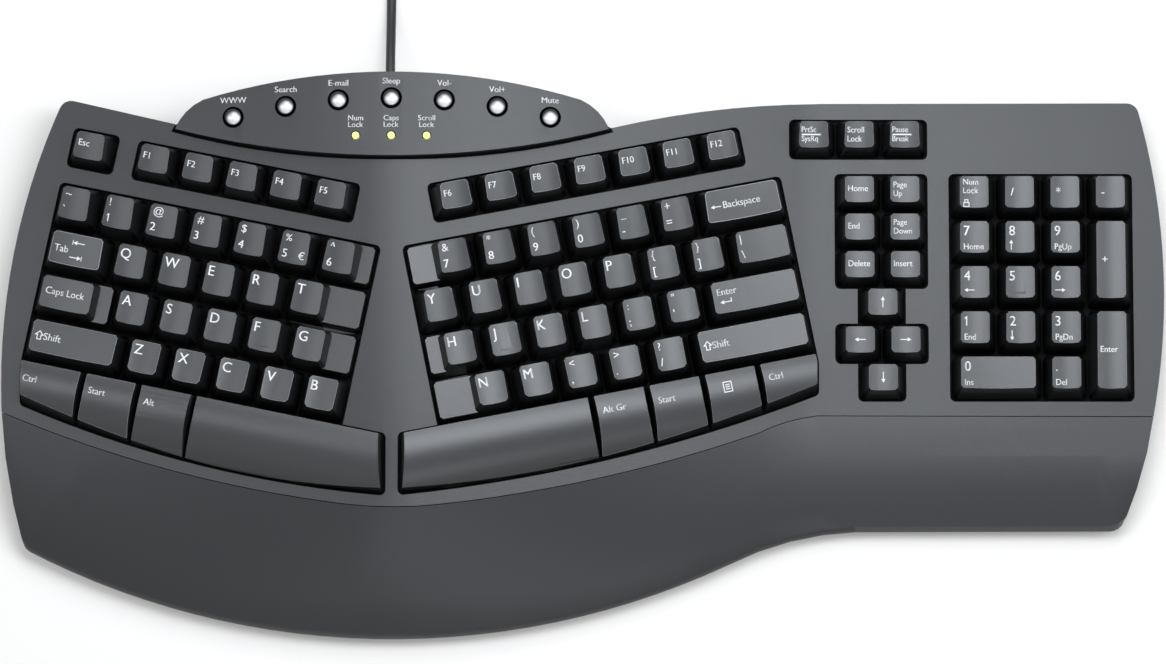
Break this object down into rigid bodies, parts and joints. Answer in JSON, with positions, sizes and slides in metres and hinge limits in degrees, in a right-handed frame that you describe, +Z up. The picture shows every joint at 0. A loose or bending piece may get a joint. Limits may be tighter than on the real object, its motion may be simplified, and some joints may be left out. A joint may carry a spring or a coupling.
{
  "type": "ergonomic split keyboard",
  "caption": "Tented split computer keyboard with curved palm rest, hot-key hood, number pad, sprung keys, flip-out tilt feet and a coiled cable",
  "frame": {"origin": "centre of the bounding box on the desk plane, leaving out the free cable, coil and plug", "axes": "X to the right along the width, Y to the rear, Z up"},
  "size_m": [0.4881, 0.3614, 0.0467],
  "materials": {
    "case": "fine-textured charcoal moulding",
    "base": "textured black moulding",
    "keycap": "dark grey matt keycaps",
    "frame": "grey inner guide plates",
    "dome_rubber": "silicone dome sheet",
    "film": "printed polyester film",
    "board": "green solder mask",
    "lens": "clear yellow-green light pipe",
    "button": "silver paint",
    "steel": "plated",
    "foot_rubber": "black rubber",
    "cable": "black cable jacket",
    "plug": "black overmoulding"
  },
  "bodies": {
    "housing": {"top_case": "case", "palm_rest": "case", "hotkey_panel": "case", "bottom_case": "base", "key_frames": "frame", "dome_mats": "dome_rubber", "membranes": "film", "controller_board": "board", "tact_switches": "base", "led_lenses": "lens", "case_screws": "steel", "rubber_feet": "foot_rubber", "strain_relief": "cable", "cable": "cable", "cable_coil": "cable", "cable_tie": "cable", "usb_plug": "plug", "usb_shell": "steel"},
    "tilt_foot_left": {"tilt_foot_left": "base"},
    "tilt_foot_right": {"tilt_foot_right": "base"},
    "hotkey_web": {"hotkey_web": "button"},
    "hotkey_search": {"hotkey_search": "button"},
    "hotkey_mail": {"hotkey_mail": "button"},
    "hotkey_sleep": {"hotkey_sleep": "button"},
    "hotkey_volume_down": {"hotkey_volume_down": "button"},
    "hotkey_volume_up": {"hotkey_volume_up": "button"},
    "hotkey_mute": {"hotkey_mute": "button"},
    "escape_key": {"escape_key": "keycap"},
    "function_keys_left": {"function_keys_left": "keycap"},
    "digit_keys_left": {"digit_keys_left": "keycap"},
    "tab_key": {"tab_key": "keycap"},
    "letter_keys_q_t": {"letter_keys_q_t": "keycap"},
    "caps_lock_key": {"caps_lock_key": "keycap"},
    "letter_keys_a_g": {"letter_keys_a_g": "keycap"},
    "left_shift_key": {"left_shift_key": "keycap"},
    "letter_keys_z_b": {"letter_keys_z_b": "keycap"},
    "left_ctrl_key": {"left_ctrl_key": "keycap"},
    "left_start_key": {"left_start_key": "keycap"},
    "left_alt_key": {"left_alt_key": "keycap"},
    "left_space_bar": {"left_space_bar": "keycap"},
    "function_keys_right": {"function_keys_right": "keycap"},
    "digit_keys_right": {"digit_keys_right": "keycap"},
    "backspace_key": {"backspace_key": "keycap"},
    "letter_keys_y_p": {"letter_keys_y_p": "keycap"},
    "letter_keys_h_l": {"letter_keys_h_l": "keycap"},
    "enter_key": {"enter_key": "keycap"},
    "letter_keys_n_m": {"letter_keys_n_m": "keycap"},
    "right_shift_key": {"right_shift_key": "keycap"},
    "right_modifier_keys": {"right_modifier_keys": "keycap"},
    "right_space_bar": {"right_space_bar": "keycap"},
    "system_keys": {"system_keys": "keycap"},
    "nav_keys": {"nav_keys": "keycap"},
    "up_arrow_key": {"up_arrow_key": "keycap"},
    "left_arrow_key": {"left_arrow_key": "keycap"},
    "right_arrow_key": {"right_arrow_key": "keycap"},
    "down_arrow_key": {"down_arrow_key": "keycap"},
    "keypad_keys": {"keypad_keys": "keycap"},
    "keypad_plus_key": {"keypad_plus_key": "keycap"},
    "keypad_enter_key": {"keypad_enter_key": "keycap"},
    "keypad_zero_key": {"keypad_zero_key": "keycap"}
  },
  "joints": [
    {"name": "tilt_foot_left_hinge", "type": "hinge", "parent": "housing", "child": "tilt_foot_left", "pos_m": [-0.1903, 0.09091, 0.0042], "axis": [1, 0, 0], "range_deg": [0, 95]},
    {"name": "tilt_foot_right_hinge", "type": "hinge", "parent": "housing", "child": "tilt_foot_right", "pos_m": [0.18852, 0.0994, 0.0042], "axis": [1, 0, 0], "range_deg": [0, 95]},
    {"name": "hotkey_web_press", "type": "slide", "parent": "housing", "child": "hotkey_web", "axis": [0, 0, -1], "range_m": [0, 0.001], "stiffness_N_per_m": 400, "springref_m": -0.0008},
    {"name": "hotkey_search_press", "type": "slide", "parent": "housing", "child": "hotkey_search", "axis": [0, 0, -1], "range_m": [0, 0.001], "stiffness_N_per_m": 400, "springref_m": -0.0008},
    {"name": "hotkey_mail_press", "type": "slide", "parent": "housing", "child": "hotkey_mail", "axis": [0, 0, -1], "range_m": [0, 0.001], "stiffness_N_per_m": 400, "springref_m": -0.0008},
    {"name": "hotkey_sleep_press", "type": "slide", "parent": "housing", "child": "hotkey_sleep", "axis": [0, 0, -1], "range_m": [0, 0.001], "stiffness_N_per_m": 400, "springref_m": -0.0008},
    {"name": "hotkey_volume_down_press", "type": "slide", "parent": "housing", "child": "hotkey_volume_down", "axis": [0, 0, -1], "range_m": [0, 0.001], "stiffness_N_per_m": 400, "springref_m": -0.0008},
    {"name": "hotkey_volume_up_press", "type": "slide", "parent": "housing", "child": "hotkey_volume_up", "axis": [0, 0, -1], "range_m": [0, 0.001], "stiffness_N_per_m": 400, "springref_m": -0.0008},
    {"name": "hotkey_mute_press", "type": "slide", "parent": "housing", "child": "hotkey_mute", "axis": [0, 0, -1], "range_m": [0, 0.001], "stiffness_N_per_m": 400, "springref_m": -0.0008},
    {"name": "escape_key_press", "type": "slide", "parent": "housing", "child": "escape_key", "axis": [0.1045, 0, -0.9945], "range_m": [0, 0.0035], "stiffness_N_per_m": 150, "springref_m": -0.001, "deforming": ["dome_mats"]},
    {"name": "function_keys_left_press", "type": "slide", "parent": "housing", "child": "function_keys_left", "axis": [0.1045, 0, -0.9945], "range_m": [0, 0.0035], "stiffness_N_per_m": 750, "springref_m": -0.001, "deforming": ["dome_mats"]},
    {"name": "digit_keys_left_press", "type": "slide", "parent": "housing", "child": "digit_keys_left", "axis": [0.1045, 0, -0.9945], "range_m": [0, 0.0035], "stiffness_N_per_m": 1050, "springref_m": -0.001, "deforming": ["dome_mats"]},
    {"name": "tab_key_press", "type": "slide", "parent": "housing", "child": "tab_key", "axis": [0.1045, 0, -0.9945], "range_m": [0, 0.0035], "stiffness_N_per_m": 150, "springref_m": -0.001, "deforming": ["dome_mats"]},
    {"name": "letter_keys_q_t_press", "type": "slide", "parent": "housing", "child": "letter_keys_q_t", "axis": [0.1045, 0, -0.9945], "range_m": [0, 0.0035], "stiffness_N_per_m": 750, "springref_m": -0.001, "deforming": ["dome_mats"]},
    {"name": "caps_lock_key_press", "type": "slide", "parent": "housing", "child": "caps_lock_key", "axis": [0.1045, 0, -0.9945], "range_m": [0, 0.0035], "stiffness_N_per_m": 150, "springref_m": -0.001, "deforming": ["dome_mats"]},
    {"name": "letter_keys_a_g_press", "type": "slide", "parent": "housing", "child": "letter_keys_a_g", "axis": [0.1045, 0, -0.9945], "range_m": [0, 0.0035], "stiffness_N_per_m": 750, "springref_m": -0.001, "deforming": ["dome_mats"]},
    {"name": "left_shift_key_press", "type": "slide", "parent": "housing", "child": "left_shift_key", "axis": [0.1045, 0, -0.9945], "range_m": [0, 0.0035], "stiffness_N_per_m": 150, "springref_m": -0.001, "deforming": ["dome_mats"]},
    {"name": "letter_keys_z_b_press", "type": "slide", "parent": "housing", "child": "letter_keys_z_b", "axis": [0.1045, 0, -0.9945], "range_m": [0, 0.0035], "stiffness_N_per_m": 750, "springref_m": -0.001, "deforming": ["dome_mats"]},
    {"name": "left_ctrl_key_press", "type": "slide", "parent": "housing", "child": "left_ctrl_key", "axis": [0.1045, 0, -0.9945], "range_m": [0, 0.0035], "stiffness_N_per_m": 150, "springref_m": -0.001, "deforming": ["dome_mats"]},
    {"name": "left_start_key_press", "type": "slide", "parent": "housing", "child": "left_start_key", "axis": [0.1045, 0, -0.9945], "range_m": [0, 0.0035], "stiffness_N_per_m": 150, "springref_m": -0.001, "deforming": ["dome_mats"]},
    {"name": "left_alt_key_press", "type": "slide", "parent": "housing", "child": "left_alt_key", "axis": [0.1045, 0, -0.9945], "range_m": [0, 0.0035], "stiffness_N_per_m": 150, "springref_m": -0.001, "deforming": ["dome_mats"]},
    {"name": "left_space_bar_press", "type": "slide", "parent": "housing", "child": "left_space_bar", "axis": [0.1045, 0, -0.9945], "range_m": [0, 0.0035], "stiffness_N_per_m": 150, "springref_m": -0.001, "deforming": ["dome_mats"]},
    {"name": "function_keys_right_press", "type": "slide", "parent": "housing", "child": "function_keys_right", "axis": [-0.1201, 0, -0.9928], "range_m": [0, 0.0035], "stiffness_N_per_m": 1050, "springref_m": -0.001, "deforming": ["dome_mats"]},
    {"name": "digit_keys_right_press", "type": "slide", "parent": "housing", "child": "digit_keys_right", "axis": [-0.1201, 0, -0.9928], "range_m": [0, 0.0035], "stiffness_N_per_m": 900, "springref_m": -0.001, "deforming": ["dome_mats"]},
    {"name": "backspace_key_press", "type": "slide", "parent": "housing", "child": "backspace_key", "axis": [-0.1201, 0, -0.9928], "range_m": [0, 0.0035], "stiffness_N_per_m": 150, "springref_m": -0.001, "deforming": ["dome_mats"]},
    {"name": "letter_keys_y_p_press", "type": "slide", "parent": "housing", "child": "letter_keys_y_p", "axis": [-0.1201, 0, -0.9928], "range_m": [0, 0.0035], "stiffness_N_per_m": 1200, "springref_m": -0.001, "deforming": ["dome_mats"]},
    {"name": "letter_keys_h_l_press", "type": "slide", "parent": "housing", "child": "letter_keys_h_l", "axis": [-0.1201, 0, -0.9928], "range_m": [0, 0.0035], "stiffness_N_per_m": 900, "springref_m": -0.001, "deforming": ["dome_mats"]},
    {"name": "enter_key_press", "type": "slide", "parent": "housing", "child": "enter_key", "axis": [-0.1201, 0, -0.9928], "range_m": [0, 0.0035], "stiffness_N_per_m": 150, "springref_m": -0.001, "deforming": ["dome_mats"]},
    {"name": "letter_keys_n_m_press", "type": "slide", "parent": "housing", "child": "letter_keys_n_m", "axis": [-0.1201, 0, -0.9928], "range_m": [0, 0.0035], "stiffness_N_per_m": 750, "springref_m": -0.001, "deforming": ["dome_mats"]},
    {"name": "right_shift_key_press", "type": "slide", "parent": "housing", "child": "right_shift_key", "axis": [-0.1201, 0, -0.9928], "range_m": [0, 0.0035], "stiffness_N_per_m": 150, "springref_m": -0.001, "deforming": ["dome_mats"]},
    {"name": "right_modifier_keys_press", "type": "slide", "parent": "housing", "child": "right_modifier_keys", "axis": [-0.1201, 0, -0.9928], "range_m": [0, 0.0035], "stiffness_N_per_m": 600, "springref_m": -0.001, "deforming": ["dome_mats"]},
    {"name": "right_space_bar_press", "type": "slide", "parent": "housing", "child": "right_space_bar", "axis": [-0.1201, 0, -0.9928], "range_m": [0, 0.0035], "stiffness_N_per_m": 150, "springref_m": -0.001, "deforming": ["dome_mats"]},
    {"name": "system_keys_press", "type": "slide", "parent": "housing", "child": "system_keys", "axis": [0, 0, -1], "range_m": [0, 0.0035], "stiffness_N_per_m": 450, "springref_m": -0.001, "deforming": ["dome_mats"]},
    {"name": "nav_keys_press", "type": "slide", "parent": "housing", "child": "nav_keys", "axis": [0, 0, -1], "range_m": [0, 0.0035], "stiffness_N_per_m": 900, "springref_m": -0.001, "deforming": ["dome_mats"]},
    {"name": "up_arrow_key_press", "type": "slide", "parent": "housing", "child": "up_arrow_key", "axis": [0, 0, -1], "range_m": [0, 0.0035], "stiffness_N_per_m": 150, "springref_m": -0.001, "deforming": ["dome_mats"]},
    {"name": "left_arrow_key_press", "type": "slide", "parent": "housing", "child": "left_arrow_key", "axis": [0, 0, -1], "range_m": [0, 0.0035], "stiffness_N_per_m": 150, "springref_m": -0.001, "deforming": ["dome_mats"]},
    {"name": "right_arrow_key_press", "type": "slide", "parent": "housing", "child": "right_arrow_key", "axis": [0, 0, -1], "range_m": [0, 0.0035], "stiffness_N_per_m": 150, "springref_m": -0.001, "deforming": ["dome_mats"]},
    {"name": "down_arrow_key_press", "type": "slide", "parent": "housing", "child": "down_arrow_key", "axis": [0, 0, -1], "range_m": [0, 0.0035], "stiffness_N_per_m": 150, "springref_m": -0.001, "deforming": ["dome_mats"]},
    {"name": "keypad_keys_press", "type": "slide", "parent": "housing", "child": "keypad_keys", "axis": [0, 0, -1], "range_m": [0, 0.0035], "stiffness_N_per_m": 2100, "springref_m": -0.001, "deforming": ["dome_mats"]},
    {"name": "keypad_plus_key_press", "type": "slide", "parent": "housing", "child": "keypad_plus_key", "axis": [0, 0, -1], "range_m": [0, 0.0035], "stiffness_N_per_m": 150, "springref_m": -0.001, "deforming": ["dome_mats"]},
    {"name": "keypad_enter_key_press", "type": "slide", "parent": "housing", "child": "keypad_enter_key", "axis": [0, 0, -1], "range_m": [0, 0.0035], "stiffness_N_per_m": 150, "springref_m": -0.001, "deforming": ["dome_mats"]},
    {"name": "keypad_zero_key_press", "type": "slide", "parent": "housing", "child": "keypad_zero_key", "axis": [0, 0, -1], "range_m": [0, 0.0035], "stiffness_N_per_m": 150, "springref_m": -0.001, "deforming": ["dome_mats"]}
  ]
}
